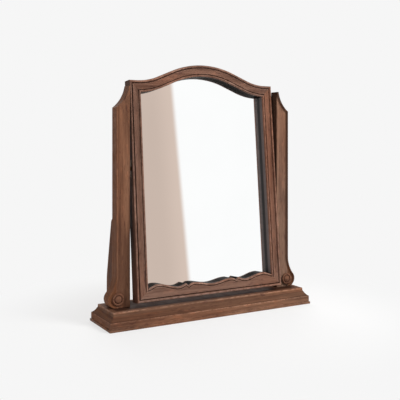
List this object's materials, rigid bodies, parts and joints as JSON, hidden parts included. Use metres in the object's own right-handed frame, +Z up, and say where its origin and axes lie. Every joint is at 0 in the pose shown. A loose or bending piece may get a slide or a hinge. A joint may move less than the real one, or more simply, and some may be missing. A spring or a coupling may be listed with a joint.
{
  "type": "tilting dressing mirror",
  "caption": "Crested wooden mirror frame that tilts on side pivots between scooped uprights with scrolled feet, on a moulded plinth base.",
  "frame": {"origin": "middle of the base's underside, on the surface that the mirror stands on", "axes": "+X to the right seen from the front, +Y to the back, +Z up; the mirror looks along -Y and leans back about 5 degrees at rest"},
  "size_m": [0.9, 0.205, 0.9885],
  "materials": {
    "walnut": "satin walnut stain",
    "inner_wood": "plain sawn softwood",
    "slip": "dark grey stain, matt",
    "backing": "smooth brown hardboard",
    "mirror": "silvered glass, polished",
    "brass": "satin brass",
    "steel": "zinc plated",
    "fibre": "dark fibre"
  },
  "bodies": {
    "stand": {"bottom_panel": "walnut", "front_moulding": "walnut", "back_moulding": "walnut", "left_moulding": "walnut", "right_moulding": "walnut", "top_board": "walnut", "left_post_block": "inner_wood", "right_post_block": "inner_wood", "cross_rail": "inner_wood", "panel_screws": "steel", "left_post": "walnut", "right_post": "walnut", "left_rosette": "walnut", "right_rosette": "walnut", "left_brace": "walnut", "right_brace": "walnut", "post_bolts": "steel", "brace_dowels": "inner_wood", "left_bush": "brass", "right_bush": "brass"},
    "mirror": {"left_stile": "walnut", "right_stile": "walnut", "crest_rail": "walnut", "bottom_rail": "walnut", "mitre_dowels": "inner_wood", "left_slip": "slip", "right_slip": "slip", "crest_slip": "slip", "bottom_slip": "slip", "mirror_glass": "mirror", "backing_board": "backing", "backing_screws": "steel", "left_pivot": "brass", "right_pivot": "brass", "plate_screws": "steel", "left_washer": "fibre", "right_washer": "fibre"}
  },
  "joints": [
    {"name": "mirror_tilt", "type": "hinge", "parent": "stand", "child": "mirror", "pos_m": [0, 0, 0.58], "axis": [1, 0, 0], "range_deg": [-25, 35]}
  ]
}
